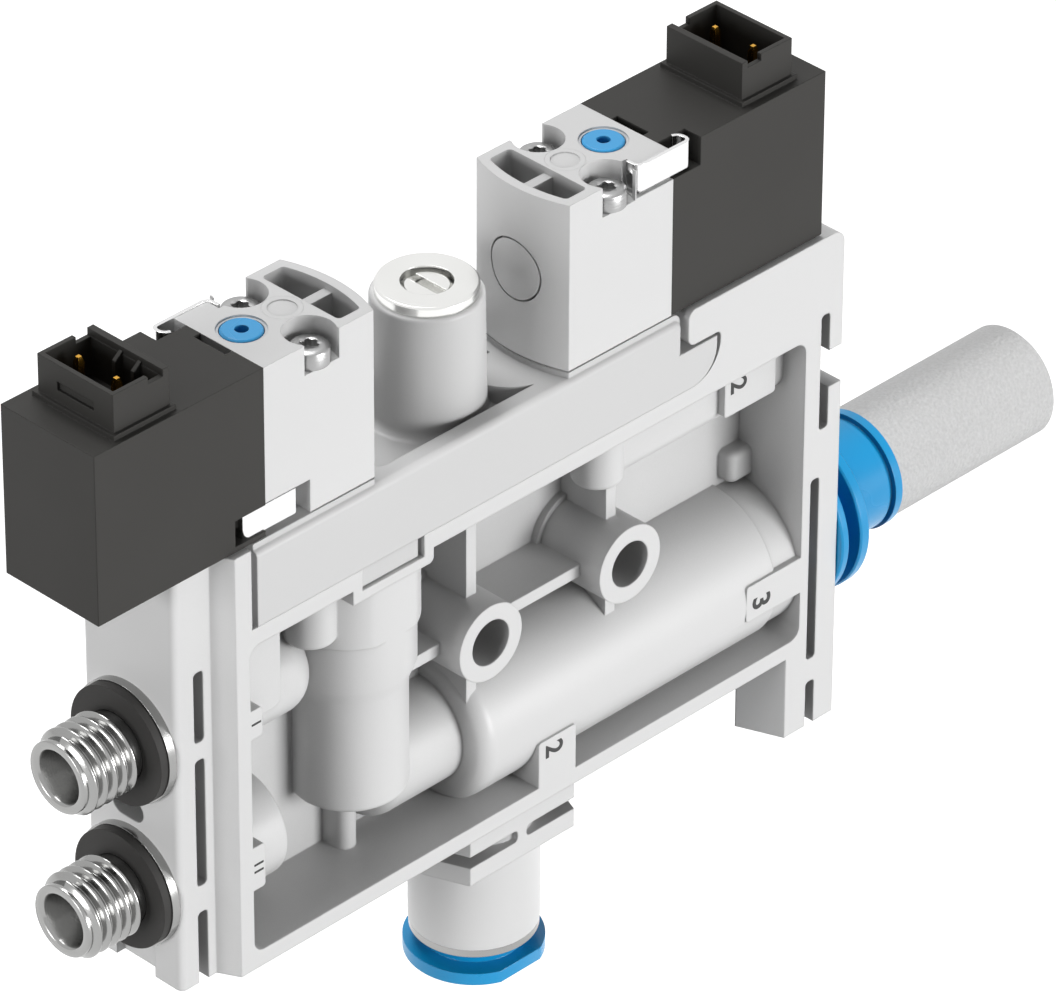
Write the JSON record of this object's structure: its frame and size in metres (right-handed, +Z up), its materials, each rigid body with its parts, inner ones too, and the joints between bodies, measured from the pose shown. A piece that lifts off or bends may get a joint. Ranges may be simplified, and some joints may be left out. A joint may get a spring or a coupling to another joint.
{
  "type": "vacuum ejector",
  "caption": "Compact vacuum ejector with ribbed housing, pilot solenoid valves on top, threaded air nipples, push-in vacuum port and silencer.",
  "frame": {"origin": "axis of the first mounting bore, the one nearer the air nipples, at the housing's mid-plane", "axes": "+X along the housing from the air nipples to the silencer, -Y towards the viewed front, +Z up from the vacuum port to the valves"},
  "size_m": [0.1082, 0.0152, 0.0742],
  "materials": {
    "housing_plastic": "light grey, fine satin moulding",
    "carrier_plastic": "light grey, fine satin moulding",
    "valve_plastic": "light grey, satin",
    "coil_plastic": "anthracite, satin",
    "copper_wire": "enamelled copper wire",
    "iron": "soft magnetic steel",
    "spring_steel": "stainless spring steel",
    "seal_rubber": "dark nitrile rubber",
    "pin_metal": "gold plated",
    "blue_plastic": "blue, smooth",
    "override_plastic": "light blue, smooth",
    "screw_steel": "stainless, bright",
    "clip_steel": "polished stainless strip",
    "nickel_brass": "nickel plated brass, turned",
    "screw_brass": "nickel plated, turned",
    "washer_steel": "bright zinc plated steel",
    "inner_plastic": "natural acetal",
    "nozzle_metal": "turned aluminium",
    "filter_mesh": "fine mesh filter",
    "sleeve_plastic": "light grey, satin",
    "silencer_sinter": "sintered porous polyethylene"
  },
  "bodies": {
    "frame": {"housing": "housing_plastic", "top_plate": "carrier_plastic", "valve_body_left": "valve_plastic", "valve_body_right": "valve_plastic", "disc_plug_left": "valve_plastic", "disc_plug_right": "valve_plastic", "end_cap_left": "valve_plastic", "end_cap_right": "valve_plastic", "coil_housing_left": "coil_plastic", "coil_housing_right": "coil_plastic", "coil_winding_left": "copper_wire", "coil_winding_right": "copper_wire", "fixed_core_left": "iron", "fixed_core_right": "iron", "armature_spring_left": "spring_steel", "armature_spring_right": "spring_steel", "override_spring_left": "spring_steel", "override_spring_right": "spring_steel", "piston_spring": "spring_steel", "collet": "spring_steel", "exhaust_collet": "spring_steel", "valve_gasket_left": "seal_rubber", "valve_gasket_right": "seal_rubber", "washer_rubber_high": "seal_rubber", "washer_rubber_low": "seal_rubber", "receiver_seal": "seal_rubber", "tube_seal": "seal_rubber", "exhaust_seal": "seal_rubber", "connector_pins_left": "pin_metal", "connector_pins_right": "pin_metal", "silencer_plug": "blue_plastic", "valve_screws_left": "screw_steel", "valve_screws_right": "screw_steel", "clips_left": "clip_steel", "clips_right": "clip_steel", "nipple_high": "nickel_brass", "nipple_low": "nickel_brass", "adjuster_insert": "nickel_brass", "sleeve_ring": "nickel_brass", "washer_metal_high": "washer_steel", "washer_metal_low": "washer_steel", "jet_nozzle": "nozzle_metal", "receiver_nozzle": "nozzle_metal", "port_filter": "filter_mesh", "cartridge_sleeve": "sleeve_plastic", "silencer": "silencer_sinter"},
    "override_left": {"override_button_left": "override_plastic"},
    "override_right": {"override_button_right": "override_plastic"},
    "armature_left": {"armature_left": "iron", "armature_pad_left": "seal_rubber"},
    "armature_right": {"armature_right": "iron", "armature_pad_right": "seal_rubber"},
    "supply_piston": {"supply_piston": "inner_plastic", "piston_seal": "seal_rubber"},
    "check_disc": {"check_disc": "inner_plastic"},
    "release_vacuum": {"release_ring_vacuum": "blue_plastic"},
    "release_exhaust": {"release_ring_exhaust": "blue_plastic"},
    "screw_seal": {"screw_seal": "seal_rubber"},
    "adjusting_screw": {"adjusting_screw": "screw_brass"}
  },
  "joints": [
    {"name": "override_left_press", "type": "slide", "parent": "frame", "child": "override_left", "axis": [0, 0, -1], "range_m": [0, 0.0008], "stiffness_N_per_m": 900, "springref_m": -0.0006, "deforming": ["override_spring_left"]},
    {"name": "override_right_press", "type": "slide", "parent": "frame", "child": "override_right", "axis": [0, 0, -1], "range_m": [0, 0.0008], "stiffness_N_per_m": 900, "springref_m": -0.0006, "deforming": ["override_spring_right"]},
    {"name": "armature_left_pull", "type": "slide", "parent": "frame", "child": "armature_left", "axis": [-1, 0, 0], "range_m": [0, 0.0005], "stiffness_N_per_m": 600, "springref_m": -0.0006, "deforming": ["armature_spring_left"]},
    {"name": "armature_right_pull", "type": "slide", "parent": "frame", "child": "armature_right", "axis": [1, 0, 0], "range_m": [0, 0.0005], "stiffness_N_per_m": 600, "springref_m": -0.0006, "deforming": ["armature_spring_right"]},
    {"name": "supply_piston_stroke", "type": "slide", "parent": "frame", "child": "supply_piston", "axis": [0, 0, -1], "range_m": [0, 0.0015], "stiffness_N_per_m": 400, "springref_m": -0.001, "deforming": ["piston_spring"]},
    {"name": "check_disc_lift", "type": "slide", "parent": "frame", "child": "check_disc", "axis": [0, 0, 1], "range_m": [0, 0.0012]},
    {"name": "release_vacuum_press", "type": "slide", "parent": "frame", "child": "release_vacuum", "axis": [0, 0, 1], "range_m": [0, 0.001], "stiffness_N_per_m": 700, "springref_m": -0.0005},
    {"name": "release_exhaust_slide", "type": "slide", "parent": "frame", "child": "release_exhaust", "axis": [1, 0, 0], "range_m": [0, 0.0009]},
    {"name": "screw_travel", "type": "slide", "parent": "frame", "child": "screw_seal", "axis": [0, 0, -1], "range_m": [0, 0.0015]},
    {"name": "screw_turn", "type": "hinge", "parent": "screw_seal", "child": "adjusting_screw", "pos_m": [0, 0, 0.026], "axis": [0, 0, -1], "range_deg": [0, 1080]}
  ],
  "couplings": [
    {"joint": "screw_turn", "follows": "screw_travel", "rad_per_m": 12566}
  ]
}
